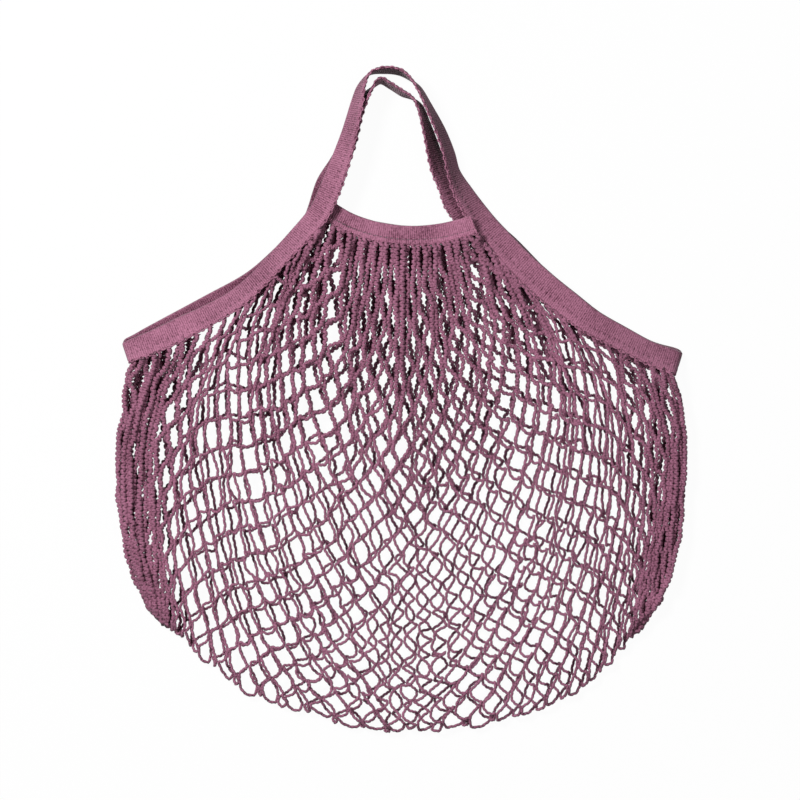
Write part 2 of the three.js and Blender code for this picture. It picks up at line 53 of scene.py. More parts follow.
# All shapes are worked out in millimetres from the line between the two mouth corners,
# with X to the right, Y towards the handles and Z up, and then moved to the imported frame.
bagSizes = {
    "netHalfWidth": 200,
    "netDepth": 261,
    "netThickness": 2,
    "netFoldReach": 9,
    "billowHeight": 3,
    "mouthRise": 98,
    "rootReach": 57,
    "handleHeight": 105,
    "layerSpacing": 9,
    "bandWidth": 20,
    "bandThickness": 1.8,
    "bandFoldReach": 6,
    "centreBandWidth": 14.5,
    "centreBandThickness": 1.4,
    "centreBandSag": 13,
    "bandFloorGap": 0.4,    # from the floor to the lowest edge of a band, at least
}
frameShift = np.array([
    cadLow.x * 1000 + bagSizes["netHalfWidth"] + bagSizes["netThickness"] / 2,
    cadLow.y * 1000 + bagSizes["netDepth"] + bagSizes["netThickness"] / 2,
    0,
])

# The camera looks straight down on the bag, as the photograph does.
cameraSizes = {
    "height": 3.0,        # metres above the floor
    "viewWidth": 0.56,    # metres of floor across the picture
    "sensor": 36,
}


def addCamera():
    data = bpy.data.cameras.new("camera")
    data.sensor_width = cameraSizes["sensor"]
    data.lens = cameraSizes["sensor"] * cameraSizes["height"] / cameraSizes["viewWidth"]
    data.clip_end = 20
    camera = bpy.data.objects.new("camera", data)
    camera.location = (0, 0, cameraSizes["height"])
    bpy.context.scene.collection.objects.link(camera)
    bpy.context.scene.camera = camera


# Curves through chosen points, and lines measured by the distance run along them

def curvePoints(rows, closed, positions):
    rows = np.asarray(rows, float)
    positions = np.asarray(positions, float)
    count = len(rows)
    spans = count if closed else count - 1
    cell = np.minimum(np.floor(positions).astype(int), spans - (0 if closed else 1))
    part = (positions - cell)[:, None]
    if closed:
        four = [rows[(cell + step) % count] for step in (-1, 0, 1, 2)]
    else:
        padded = np.vstack([2 * rows[0] - rows[1], rows, 2 * rows[-1] - rows[-2]])
        four = [padded[cell + step] for step in (0, 1, 2, 3)]
    before, start, end, after = four
    tiny = 1e-4
    middle = np.sum((end - start) ** 2, axis=1, keepdims=True) ** 0.25
    middle = np.where(middle < tiny, 1.0, middle)
    first = np.sum((start - before) ** 2, axis=1, keepdims=True) ** 0.25
    first = np.where(first < tiny, middle, first)
    last = np.sum((after - end) ** 2, axis=1, keepdims=True) ** 0.25
    last = np.where(last < tiny, middle, last)
    leave = (start - before) / first - (end - before) / (first + middle) + (end - start) / middle
    arrive = (end - start) / middle - (after - start) / (middle + last) + (after - end) / last
    leave = leave * middle
    arrive = arrive * middle
    return (
        start + leave * part
        + (-3 * start + 3 * end - 2 * leave - arrive) * part ** 2
        + (2 * start - 2 * end + leave + arrive) * part ** 3
    )


def runOf(points):
    steps = np.linalg.norm(np.diff(points, axis=0), axis=1)
    return np.concatenate([[0], np.cumsum(steps)])


# A value between the rows of a table of shares and values.
def bent(table, share):
    table = np.array(table, float)
    return np.interp(share, table[:, 0], table[:, 1])


# The points of a line that runs from left to right, at given x.
def above(points, x):
    return np.stack([x, *(np.interp(x, points[:, 0], points[:, k]) for k in (1, 2))], axis=-1)


def unit(vectors):
    return vectors / np.maximum(np.linalg.norm(vectors, axis=-1, keepdims=True), 1e-9)


# Meshes from arrays of points in millimetres

def addMesh(name, points, faces, shade):
    points = (np.asarray(points).reshape(-1, 3) + frameShift) * 0.001
    mesh = bpy.data.meshes.new(name)
    mesh.vertices.add(len(points))
    mesh.vertices.foreach_set("co", points.astype(np.float32).ravel())
    corners = np.concatenate([np.asarray(f).ravel() for f in faces]).astype(np.int32)
    totals = [np.full(len(f), np.asarray(f).shape[1]) for f in faces]
    totals = np.concatenate(totals).astype(np.int32)
    starts = np.concatenate([[0], np.cumsum(totals)[:-1]]).astype(np.int32)
    mesh.loops.add(len(corners))
    mesh.loops.foreach_set("vertex_index", corners)
    mesh.polygons.add(len(totals))
    mesh.polygons.foreach_set("loop_start", starts)
    mesh.polygons.foreach_set("loop_total", totals)
    mesh.polygons.foreach_set("use_smooth", np.ones(len(totals), bool))
    mesh.update(calc_edges=True)
    layer = mesh.attributes.new("shade", "FLOAT", "POINT")
    layer.data.foreach_set("value", np.asarray(shade, np.float32).ravel())
    mesh.validate()
    piece = bpy.data.objects.new(name, mesh)
    bpy.context.scene.collection.objects.link(piece)
    return piece


# The faces of many tubes at once, all with the same count of rings and sides.
def tubeFaces(tubes, rings, sides, closed=False):
    ring = np.arange(rings if closed else rings - 1)
    side = np.arange(sides)
    tube = np.arange(tubes)
    t, r, s = np.meshgrid(tube, ring, side, indexing="ij")
    nextRing = (r + 1) % rings
    nextSide = (s + 1) % sides
    base = t * rings * sides
    quads = np.stack([
        base + r * sides + s,
        base + r * sides + nextSide,
        base + nextRing * sides + nextSide,
        base + nextRing * sides + s,
    ], axis=-1).reshape(-1, 4)
    if closed:
        return [quads]
    first = tube[:, None] * rings * sides + side[::-1][None]
    last = tube[:, None] * rings * sides + (rings - 1) * sides + side[None]
    return [quads, first, last]


# The endless band, as sections along its centre line. heading is the way its scalloped
# net edge points in plan, tilt how far that edge is raised, both in degrees, and lift
# how high its lowest edge lies, as a share of the spacing between the two layers.
# On the handles x is a share of rootReach and up a share of handleHeight.
frontHandleRows = [
    # x, up, lift, heading, tilt
    (-0.99, 0.03, 0.3, -36, 38),
    (-0.85, 0.19, 0.6, -25, 38),
    (-0.72, 0.38, 0.6, -19, 45),
    (-0.61, 0.57, 0.48, -17, 55),
    (-0.52, 0.76, 0.42, -16, 63),
    (-0.47, 0.87, 0.12, -25, 74),
    (-0.37, 0.955, 0.02, -48, 88),
    (-0.18, 0.98, 0.02, -90, 99),
    (0.01, 0.965, 0.02, -105, 98),
    (0.12, 0.925, 0.02, -132, 91),
    (0.23, 0.86, 0.02, -148, 81),
    (0.34, 0.75, 0.02, -153, 76),
    (0.5, 0.57, 0.02, -156, 68),
    (0.6, 0.42, 0.04, -158, 64),
    (0.65, 0.31, 0.06, -160, 62),
    (0.76, 0.18, 0.16, -153, 45),
]
backHandleRows = [
    # x, up, lift, heading, tilt
    (0.93, -0.04, 0, -142, 6),
    (0.69, 0.1, 0, -150, 22),
    (0.6, 0.21, 0, -158, 36),
    (0.48, 0.33, 0.02, -162, 50),
    (0.33, 0.6, 0.02, -163, 70),
    (0.24, 0.74, 0.02, -152, 78),
    (0.16, 0.79, 0.02, -128, 89),
    (0.02, 0.83, 0.02, -113, 98),
    (-0.11, 0.875, 0.02, -112, 98),
    (-0.24, 0.91, 0.02, -88, 98),
    (-0.34, 0.86, 0.02, -45, 85),
    (-0.49, 0.75, 0.02, -30, 62),
    (-0.63, 0.5, 0.02, -20, 54),
    (-0.745, 0.36, 0, -22, 42),
    (-0.87, 0.22, 0, -26, 22),
]
# On the mouth edges out is a share of the way from root to side, and up of mouthRise.
frontRightRows = [
    # out, up, lift, heading, tilt
    (0.005, 0.97, 0.28, -143, 28),
    (0.09, 0.83, 0.45, -135, 24),
    (0.19, 0.67, 0.85, -132, 12),
    (0.3, 0.52, 1, -129, 4),
    (0.42, 0.38, 0.95, -126, 8),
    (0.54, 0.25, 0.8, -122, 20),
    (0.68, 0.14, 0.65, -118, 29),
    (0.81, 0.04, 0.6, -114, 31),
]
backRightRows = [
    # out, up, lift, heading, tilt
    (0.81, 0.027, 0, -114, 0),
    (0.54, 0.24, 0, -122, 0),
    (0.3, 0.52, 0, -129, 0),
    (0.1, 0.81, 0, -136, 2),
]
backLeftRows = [
    # out, up, lift, heading, tilt
    (0.03, 0.91, 0, -41, 4),
    (0.16, 0.72, 0, -49, 2),
    (0.31, 0.53, 0, -56, 1),
    (0.53, 0.35, 0, -61, 0),
    (0.81, 0.13, 0, -66, 0),
]
frontLeftRows = [
    # out, up, lift, heading, tilt
    (0.8, 0.115, 0.42, -67, 31),
    (0.67, 0.205, 0.38, -65, 30),
    (0.54, 0.3, 0.34, -61, 38),
    (0.41, 0.41, 0.3, -57, 43),
    (0.3, 0.545, 0.3, -51, 45),
    (0.2, 0.7, 0.3, -47, 45),
    (0.1, 0.855, 0.3, -42, 43),
]
mouthCorners = {
    "right": {"side": 1, "out": 0.96, "up": -0.04, "heading": -109, "tilt": 30},
    "left": {"side": -1, "out": 0.936, "up": 0.038, "heading": -69, "tilt": 40},
}
turnRows = [
    # reach, lift, lean
    (0, 0.5, 0.9),
    (0.7, 0.36, 1),
    (1, 0.1, 1),
    (0.7, 0, 0.5),
    (0, 0, 0),
]
frontCentreRows = [
    # x, drop, lift, heading
    (-0.895, -0.4, 1, -119),
    (-0.64, 0.26, 1, -114),
    (-0.4, 0.65, 1, -107),
    (-0.17, 0.88, 1, -97),
    (0.18, 1, 1, -88),
    (0.52, 0.86, 1.04, -82),
    (0.76, 0.62, 1.43, -75),
    (0.91, 0.43, 1.88, -68),
]
backCentreRows = [
    # x, drop, lift, heading
    (-0.83, 0.15, 0, -108),
    (-0.4, 0.65, 0, -103),
    (0.18, 1, 0, -88),
    (0.52, 0.86, 0, -76),
    (0.7, 0.64, 0, -62),
]
loopSize = (bagSizes["bandWidth"], bagSizes["bandThickness"])
centreSize = (bagSizes["centreBandWidth"], bagSizes["centreBandThickness"])


def restingHeight(tilt, size):
    width, thickness = size
    lean = np.radians(tilt)
    return width / 2 * np.abs(np.sin(lean)) + thickness / 2 * np.abs(np.cos(lean))


def station(x, y, lift, heading, tilt, size):
    return (x, y, lift * bagSizes["layerSpacing"] + restingHeight(tilt, size), heading, tilt)


def handleStations(rows):
    return [
        station(x * bagSizes["rootReach"], bagSizes["mouthRise"] + up * bagSizes["handleHeight"],
                lift, heading, tilt, loopSize)
        for x, up, lift, heading, tilt in rows
    ]


def edgePlace(side, out, up):
    reach = bagSizes["netHalfWidth"] - bagSizes["rootReach"]
    return side * (bagSizes["rootReach"] + out * reach), up * bagSizes["mouthRise"]


def edgeStations(side, rows):
    return [
        station(*edgePlace(side, out, up), lift, heading, tilt, loopSize)
        for out, up, lift, heading, tilt in rows
    ]


def cornerStations(corner):
    x, y = edgePlace(corner["side"], corner["out"], corner["up"])
    heading = math.radians(corner["heading"])
    outward = np.array([-math.sin(heading), math.cos(heading)]) * bagSizes["bandFoldReach"]
    if outward[0] * corner["side"] < 0:
        outward = -outward
    return [
        station(x - outward[0] * (1 - reach), y - outward[1] * (1 - reach),
                lift, corner["heading"], corner["tilt"] * lean, loopSize)
        for reach, lift, lean in turnRows
    ]


stretches = [
    ("handle_front", handleStations(frontHandleRows)),
    ("edge_band_right", edgeStations(1, frontRightRows)),
    ("edge_band_right", cornerStations(mouthCorners["right"])),
    ("edge_band_right", edgeStations(1, backRightRows)),
    ("handle_back", handleStations(backHandleRows)),
    ("edge_band_left", edgeStations(-1, backLeftRows)),
    ("edge_band_left", cornerStations(mouthCorners["left"])[::-1]),
    ("edge_band_left", edgeStations(-1, frontLeftRows)),
]
loopStations = np.array([row for name, rows in stretches for row in rows], float)
stationCount = len(loopStations)
stretchStart = np.concatenate([[0], np.cumsum([len(rows) for name, rows in stretches])])


def centreStations(rows):
    return np.array([
        station(x * bagSizes["rootReach"], bagSizes["mouthRise"] - drop * bagSizes["centreBandSag"],
                lift, heading, 0, centreSize)
        for x, drop, lift, heading in rows
    ], float)


# Sections of a band at even distances: centres, the way across to the net edge, the way
# out of the outer face, the distance run, and the band's width and thickness.
def bandSections(stations, closed, start, end, size, spacing):
    fine = np.linspace(start, end, int((end - start) * 60) + 1)
    places = curvePoints(stations[:, :3], closed, fine)
    run = runOf(places)
    steps = max(2, int(round(run[-1] / spacing)))
    even = np.interp(np.linspace(0, run[-1], steps + 1), run, fine)
    places = curvePoints(stations[:, :3], closed, even)
    turns = curvePoints(np.pad(stations[:, 3:], ((0, 0), (0, 1))), closed, even)
    heading, tilt = np.radians(turns[:, 0]), np.radians(turns[:, 1])
    lowest = restingHeight(turns[:, 1], size) + bagSizes["bandFloorGap"]
    places[:, 2] = np.maximum(places[:, 2], lowest)
    across = np.stack([
        np.cos(tilt) * np.cos(heading),
        np.cos(tilt) * np.sin(heading),
        np.sin(tilt),
    ], axis=1)
    forward = unit(np.gradient(places, axis=0))
    outward = unit(np.cross(across, forward))
    return {
        "centre": places,
        "across": across,
        "outward": outward,
        "run": runOf(places),
        "size": size,
    }


bandLook = {
    "ribPitch": 1.5,        # mm between the fine ribs that run across the band
    "ribDepth": 0.28,
    "ribProfile": (1, -0.2, -0.8),
    "faceShade": 0.32,      # 0 is the yarn's light colour and 1 its deep one
    "ribShade": 0.34,       # painted light and shade: how much lighter the ribs' crests are, and darker their grooves
    "hemShade": 0.14,       # how much lighter the hem at the net edge is
    "stitchShade": 0.65,    # painted shade: how much darker the dents of the stitches are
    "innerShade": 0.36,     # painted shade: how much darker its inner face is, as if shadowed inside the mouth
    "paintedWaveShade": 0.05,      # painted shade of the band's slow undulations: how far it drifts along the band
    "picotPitch": 3.3,      # mm between the little loops of the scalloped edge
    "picotReach": 1.5,      # how much of the width they take
    "picotRadius": 0.62,    # of their yarn
    "picotLean": 32,        # degrees that they lean up and down by turns
    "picotRings": 10,       # in one loop
    "picotSides": 6,
    "stitchPitch": 3.8,
    "stitchPlace": 0.36,    # share of the half width, from the middle to the net edge
    "stitchDepth": 0.45,
    "stitchLength": 0.55,   # mm, half of one dent along the band
    "taperLength": 4,       # mm over which a centre band thins towards either end
    "taperLeast": 0.3,      # share of its thickness that is left there
}
# where a section of a band has points, from its plain edge at -1 to its looped one at 1
bandPlaces = [-0.97, -0.84, -0.66, -0.47, -0.27, -0.07, 0.12, 0.25, 0.36, 0.47, 0.62, 0.78, 0.93]
stitchColumn = 8    # the one of these that the stitches take


def bandPiece(name, sections, tapered=False):
    look = bandLook
    width, thickness = sections["size"]
    clothEdge = width / 2 - look["picotReach"]
    stitchAt = look["stitchPlace"] * width / 2
    low = -width / 2 + thickness / 2
    across = np.interp(bandPlaces, [-1, 1], [low, clothEdge])
    across[stitchColumn] = stitchAt
    run = sections["run"]
    rings = len(run)
    ribs = np.array(look["ribProfile"])[np.arange(rings) % len(look["ribProfile"])]
    fromEnd = np.minimum(run, run[-1] - run)
    full = np.ones(rings)
    if tapered:
        least = look["taperLeast"]
        full = np.clip(least + (1 - least) * fromEnd / look["taperLength"], 0, 1)
    fade = np.interp(across, [low, low + 3.5, clothEdge - 1, clothEdge], [0.25, 1, 1, 0.8])
    ribHeight = look["ribDepth"] / 2 * ribs[:, None] * fade[None] * full[:, None]
    stitchPhase = (run / look["stitchPitch"]) % 1
    stitch = np.exp(-((stitchPhase - 0.5) * look["stitchPitch"] / look["stitchLength"]) ** 2)
    dent = np.zeros((rings, len(across)))
    dent[:, stitchColumn] = stitch
    dent[:, stitchColumn - 1] = 0.25 * stitch
    dent[:, stitchColumn + 1] = 0.25 * stitch
    half = thickness / 2 * full[:, None] + ribHeight - look["stitchDepth"] * dent * full[:, None]
    place = sections["centre"][:, None] + sections["across"][:, None] * across[None, :, None]
    upper = place + sections["outward"][:, None] * half[..., None]
    lower = place - sections["outward"][:, None] * half[..., None]
    rim = sections["centre"] + sections["across"] * (-width / 2)
    edge = sections["centre"] + sections["across"] * (clothEdge + 0.4)
    ring = np.concatenate([upper, edge[:, None], lower[:, ::-1], rim[:, None]], axis=1)
    sides = ring.shape[1]
    hem = look["hemShade"] / 2
    tone = np.interp(across, [stitchAt - 3, stitchAt + 1.5], [hem, -hem])
    # painted shade that drifts along the band, for its slow undulations
    tone = tone + look["paintedWaveShade"] * np.sin(run / 11 + 2 * np.sin(run / 37))[:, None]
    # painted light and shade on the ribs: crests drawn lighter, grooves darker
    shadeUpper = look["faceShade"] + tone - look["ribShade"] * ribs[:, None] * fade[None]
    # painted shade in the dents of the stitches
    shadeUpper = np.clip(shadeUpper + look["stitchShade"] * dent, 0, 1)
    # painted shade along the seam where the loops leave the band; the plain rim is drawn lighter
    shadeEdge = np.full((rings, 1), 0.5)
    shadeRim = np.full((rings, 1), 0.15)
    # painted shade: the inner face, turned in towards the mouth, is drawn darker
    shadeLower = np.clip(shadeUpper[:, ::-1] + look["innerShade"], 0, 1)
    shade = np.concatenate([shadeUpper, shadeEdge, shadeLower, shadeRim], axis=1)
    faces = tubeFaces(1, rings, sides)

    # the little yarn loops along the net edge
    count = max(2, int(round(run[-1] / look["picotPitch"])))
    where = (np.arange(count) + 0.5) * run[-1] / count
    pick = {k: np.stack([np.interp(where, run, sections[k][:, i]) for i in range(3)], axis=1)
            for k in ("centre", "across", "outward")}
    forward = np.cross(pick["outward"], pick["across"])
    lean = np.where(np.arange(count) % 2 == 0, 1, -1) * math.radians(look["picotLean"])
    turned = (
        pick["across"] * np.cos(lean)[:, None]
        + pick["outward"] * np.sin(lean)[:, None]
    )
    ringSteps = look["picotRings"]
    ringSides = look["picotSides"]
    angle = 2 * np.pi * np.arange(ringSteps) / ringSteps
    around = 2 * np.pi * np.arange(ringSides) / ringSides
    longRadius = look["picotPitch"] * 0.40
    shortRadius = look["picotReach"] * 0.62
    heart = pick["centre"] + pick["across"] * (width / 2 - look["picotReach"] * 0.85)
    line = (
        heart[:, None]
        + forward[:, None] * (longRadius * np.cos(angle))[None, :, None]
        + turned[:, None] * (shortRadius * np.sin(angle))[None, :, None]
    )
    outer = unit(
        forward[:, None] * np.cos(angle)[None, :, None]
        + turned[:, None] * np.sin(angle)[None, :, None]
    )
    up = np.cross(forward, turned)[:, None, None]
    loops = line[:, :, None] + look["picotRadius"] * (
        outer[:, :, None] * np.cos(around)[None, None, :, None]
        + up * np.sin(around)[None, None, :, None]
    )
    # painted shade: the yarn is drawn darker on the inside of each loop, where less light reaches
    loopShade = 0.15 + 0.55 * (np.cos(around) < -0.3)[None, None] * np.ones((count, ringSteps, 1))
    loopFaces = tubeFaces(count, ringSteps, ringSides, closed=True)[0] + ring.shape[0] * sides
    points = np.vstack([ring.reshape(-1, 3), loops.reshape(-1, 3)])
    shades = np.concatenate([shade.ravel(), loopShade.ravel()])
    return addMesh(name, points, [*faces, loopFaces], shades)


def ribSpacing():
    return bandLook["ribPitch"] / len(bandLook["ribProfile"])


# Knits one band in place of the frame's part; it lies on the net.
def sewnBand(node, sections, tapered=False):
    piece = bandPiece(node + "_knit", sections, tapered)
    piece.data.materials.append(bandKnit)
    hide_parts(node)
    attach(piece, "root")


# The knitted net: chains that run down the front, over the bottom fold and up the back,
# joined to their neighbours by turns, so that they make diamonds.
netLook = {
    "wales": 66,
    "rows": 62,
    "strandLength": 14.4,   # mm from one join to the next, at most
    "pieces": 4,            # of one strand while it settles
    "ringsPerPiece": 4,
    "sides": 6,
    "radius": 1.1,          # of a chain
    "slackRadius": 1.95,    # of a chain that hangs slack, gathered or bunched
    "hemRows": 16,          # over which a gathered chain thins
    "bump": 0.13,           # how much its stitches swell it
    "zigzag": 0.33,         # how far they stand off to either side, as a share of its radius
    "joinGap": 0.9,         # from a join's middle to each of its chains, as a share of their radius
    "bow": 1.35,            # mm that strands bow sideways, on average
    "waver": 3.0,           # mm that patches of the net stray from an even spread
    "waverWaves": 7,
    "waverLengths": (38, 110),
    "stray": 0.9,           # mm that single joins stray
    "unevenness": 0.28,     # how far whole wales stray, as a share of a wale's width
    "crowding": 1.1,        # mm that slack chains ride above or below one another
    "rowDrift": 0.3,        # how far joins slip along their wales, in rows
    "bunching": 0.75,       # how strongly the wales crowd into bunches at the mouth
    "bunches": (14, 10.5),  # across the front layer and the back one
    "heightStray": 0.35,    # mm that single joins stray up and down
    "fullnessStray": 0.1,   # how unlike in thickness slack chains are
    "hemDepth": 0.3,        # mm that the chains start behind the middle of a band's thickness
    "floorGap": 0.05,       # mm between the floor and the lowest chains, at least
    "runSmoothing": 60,     # passes that even out the guide rows
    "stitchTone": 0.3,      # 0 is the yarn's light colour and 1 its deep one
    "stitchShade": 0.14,    # painted light and shade: how much lighter it is on a swelling, and darker between two
    "hollowShade": 0.75,    # painted shade: how much darker it is on the hollow side, where a stitch stands off to the other side
    "settleSteps": 240,
    "lengthPasses": 2,      # over the strands' lengths in each step
    "startStray": 0.9,      # mm off its place that a point starts
    "strandSlack": (1.03, 0.3),     # least length over the straight way, and the most on top
    "pull": (0.03, 0.003),  # of the joins to their places, at the start and at the end
    "foldPull": 0.2,        # of the loops that turn round the bottom
    "sidePull": 0.1,        # of the joins along both sides
    "straightening": 0.12,  # of a strand between its joins
    "seed": 4,
}
# the net's outline, as shares of its half width and of its depth below the mouth corners
leftOutlineRows = [
    (-0.962, 0.05), (-0.988, 0.137), (-1, 0.3), (-0.985, 0.45), (-0.925, 0.586), (-0.86, 0.677),
]
bottomOutlineRows = [
    (-0.74, 0.772), (-0.635, 0.849), (-0.54, 0.895), (-0.35, 0.945), (-0.17, 0.987),
    (0.03, 1), (0.3, 0.98), (0.49, 0.946), (0.657, 0.882), (0.774, 0.784),
]
rightOutlineRows = [
    (0.863, 0.69), (0.93, 0.562), (0.985, 0.42), (1, 0.3), (0.995, 0.15), (0.975, 0.09),
]
# Where the wales run: share of the wales, then five places from the mouth to the fold, as
# shares of the net's half width and of its depth below the mouth corners.
waleRuns = [
    (0.0, [(-0.94, 0.01), (-0.99, 0.17), (-1.00, 0.34), (-0.96, 0.50), (-0.87, 0.66)]),
    (0.05, [(-0.86, 0.00), (-0.93, 0.12), (-0.96, 0.32), (-0.93, 0.51), (-0.85, 0.68)]),
    (0.1, [(-0.78, -0.02), (-0.88, 0.11), (-0.91, 0.31), (-0.89, 0.52), (-0.83, 0.70)]),
    (0.14, [(-0.71, -0.04), (-0.85, 0.11), (-0.88, 0.31), (-0.86, 0.53), (-0.82, 0.71)]),
    (0.17, [(-0.62, -0.08), (-0.82, 0.11), (-0.85, 0.28), (-0.84, 0.53), (-0.81, 0.72)]),
    (0.21, [(-0.37, -0.25), (-0.68, 0.01), (-0.73, 0.24), (-0.75, 0.53), (-0.77, 0.76)]),
    (0.25, [(-0.29, -0.32), (-0.55, -0.05), (-0.62, 0.22), (-0.64, 0.54), (-0.70, 0.82)]),
    (0.29, [(-0.23, -0.32), (-0.45, -0.06), (-0.52, 0.24), (-0.54, 0.56), (-0.60, 0.86)]),
    (0.33, [(-0.19, -0.31), (-0.35, -0.02), (-0.41, 0.28), (-0.43, 0.60), (-0.49, 0.90)]),
    (0.37, [(-0.14, -0.30), (-0.25, 0.03), (-0.30, 0.31), (-0.33, 0.64), (-0.37, 0.93)]),
    (0.41, [(-0.09, -0.30), (-0.15, 0.07), (-0.19, 0.37), (-0.23, 0.67), (-0.26, 0.96)]),
    (0.45, [(-0.04, -0.30), (-0.06, 0.09), (-0.09, 0.40), (-0.12, 0.69), (-0.14, 0.97)]),
    (0.5, [(0.02, -0.30), (0.02, 0.10), (0.02, 0.41), (0.01, 0.71), (0.01, 0.99)]),
    (0.55, [(0.08, -0.30), (0.11, 0.09), (0.13, 0.40), (0.15, 0.69), (0.15, 0.97)]),
    (0.59, [(0.13, -0.30), (0.20, 0.07), (0.23, 0.37), (0.27, 0.67), (0.27, 0.96)]),
    (0.63, [(0.17, -0.30), (0.29, 0.03), (0.33, 0.31), (0.36, 0.64), (0.39, 0.93)]),
    (0.67, [(0.22, -0.31), (0.38, -0.02), (0.44, 0.28), (0.47, 0.60), (0.51, 0.90)]),
    (0.71, [(0.24, -0.32), (0.47, -0.05), (0.55, 0.24), (0.57, 0.56), (0.62, 0.86)]),
    (0.75, [(0.29, -0.30), (0.57, -0.04), (0.64, 0.22), (0.67, 0.54), (0.71, 0.82)]),
    (0.79, [(0.38, -0.22), (0.70, 0.02), (0.76, 0.22), (0.76, 0.53), (0.78, 0.76)]),
    (0.83, [(0.62, -0.08), (0.84, 0.12), (0.86, 0.30), (0.86, 0.52), (0.82, 0.73)]),
    (0.86, [(0.73, -0.04), (0.87, 0.12), (0.89, 0.31), (0.88, 0.53), (0.83, 0.71)]),
    (0.9, [(0.81, -0.02), (0.89, 0.12), (0.92, 0.32), (0.91, 0.52), (0.84, 0.70)]),
    (0.95, [(0.89, 0.01), (0.95, 0.14), (0.97, 0.34), (0.94, 0.52), (0.86, 0.69)]),
    (1.0, [(0.96, 0.04), (1.00, 0.17), (1.00, 0.35), (0.97, 0.51), (0.88, 0.67)]),
]
# share of the wales, and the number of rows that the bands take off there
startRows = [
    (0, 18), (0.1, 17), (0.14, 16), (0.17, 14), (0.2, 10), (0.23, 6), (0.27, 2), (0.31, 0),
    (0.69, 0), (0.73, 2), (0.77, 6), (0.8, 10), (0.83, 14), (0.86, 16), (0.9, 17), (1, 18),
]
# share of the wales, and how slack their chains hang at the mouth and all the way down
hemSlack = [
    (0.16, 0.4), (0.2, 0.15), (0.24, 0.6), (0.27, 1),
    (0.73, 1), (0.76, 0.6), (0.79, 0.1), (0.86, 0.2),
]
sideSlack = [
    (0, 1), (0.1, 1), (0.16, 0.6), (0.2, 0),
    (0.82, 0), (0.88, 0.4), (0.93, 0.65), (1, 0.65),
]
# share of the rows from the mouth to the fold, and share of the way down: they lie closer
# where the net is drawn wide
rowPlaces = [(0, 0), (0.15, 0.19), (0.4, 0.46), (0.65, 0.73), (0.81, 0.87), (1, 1)]
# strands of the front layer that are caught up in a clump: two ends, as shares of the net's
# half width and depth, then how far it reaches in mm and how strongly it draws
clumpRows = [
    ((-0.05, 0.22), (-0.19, 0.40), 13, 0.75),
    ((-0.19, 0.40), (-0.13, 0.60), 12, 0.8),
    ((-0.13, 0.60), (0.02, 0.70), 12, 0.6),
    ((0.60, 0.36), (0.66, 0.62), 11, 0.6),
    ((-0.80, 0.10), (-0.86, 0.42), 10, 0.4),
]
billowRows = [
    # column, row, spread, rise
    (0.3, 0.2, 0.16, 0.7),
    (0.62, 0.22, 0.14, 1),
    (0.42, 0.62, 0.18, 0.8),
    (0.74, 0.6, 0.16, 0.6),
]


def outlineLine():
    rows = np.array([*leftOutlineRows, *bottomOutlineRows, *rightOutlineRows])
    points = rows * [bagSizes["netHalfWidth"], -bagSizes["netDepth"]]
    return curvePoints(points, False, np.linspace(0, len(points) - 1, 400))


def netEdge(stations, closed, start, end, size):
    sections = bandSections(stations, closed, start, end, size, 2.0)
    inset = size[0] / 2 - bandLook["picotReach"]
    behind = sections["outward"] * netLook["hemDepth"]
    return sections["centre"] + sections["across"] * inset - behind


# The mouth's edge in one layer, from the left corner over the centre band to the right.
def mouthLine(left, centre, right):
    leftCut = np.argmin(np.linalg.norm(left[:, :2] - centre[0, :2], axis=1))
    rightCut = np.argmin(np.linalg.norm(right[:, :2] - centre[-1, :2], axis=1))
    return np.vstack([left[:leftCut], centre, right[rightCut + 1:]])


def mouthLines():
    def edge(start, end):
        return netEdge(loopStations, True, start, end, loopSize)

    backRight, handleBack = stretchStart[3], stretchStart[4]
    backLeft, leftTurn, frontLeft = stretchStart[5], stretchStart[6], stretchStart[7]
    frontRight, rightTurn = stretchStart[1], stretchStart[2]
    centreFront = centreStations(frontCentreRows)
    centreBack = centreStations(backCentreRows)
    front = mouthLine(
        edge(frontLeft - 1, stationCount),
        netEdge(centreFront, False, 0, len(centreFront) - 1, centreSize),
        edge(frontRight, rightTurn),
    )
    back = mouthLine(
        edge(backLeft, leftTurn)[::-1],
        netEdge(centreBack, False, 0, len(centreBack) - 1, centreSize),
        edge(backRight - 1, handleBack)[::-1],
    )
    return front, back


# Smooth patches of stray over the net, in mm.
def waver(x, y, rng):
    total = np.zeros(np.broadcast(x, y).shape)
    for k in range(netLook["waverWaves"]):
        angle = rng.uniform(0, 2 * np.pi)
        wave = 2 * np.pi / rng.uniform(*netLook["waverLengths"])
        phase = rng.uniform(0, 2 * np.pi)
        total += np.sin((x * np.cos(angle) + y * np.sin(angle)) * wave + phase)
    return total * netLook["waver"] / math.sqrt(netLook["waverWaves"] / 2)


# The place at one of the five stages of the wales' runs, for any share of the wales.
def runPlace(stage, u):
    shares = [row[0] for row in waleRuns]
    places = np.array([row[1][stage] for row in waleRuns])
    places = places * [bagSizes["netHalfWidth"], -bagSizes["netDepth"]]
    fine = np.linspace(0, 1, 201)
    line = np.stack([np.interp(fine, shares, places[:, k]) for k in (0, 1)], axis=1)
    for again in range(netLook["runSmoothing"]):
        line[1:-1] = (line[:-2] + line[2:]) / 2
    return np.stack([np.interp(u, fine, line[:, k]) for k in (0, 1)], axis=-1)


def foldPlace(outline, u):
    bottom = outline[np.argmin(outline[:, 0]):np.argmax(outline[:, 0]) + 1]
    return above(np.column_stack([bottom, bottom[:, 1]]), runPlace(4, u)[..., 0])[..., :2]


def mouthPlace(line, u):
    return above(line, runPlace(0, u)[..., 0])


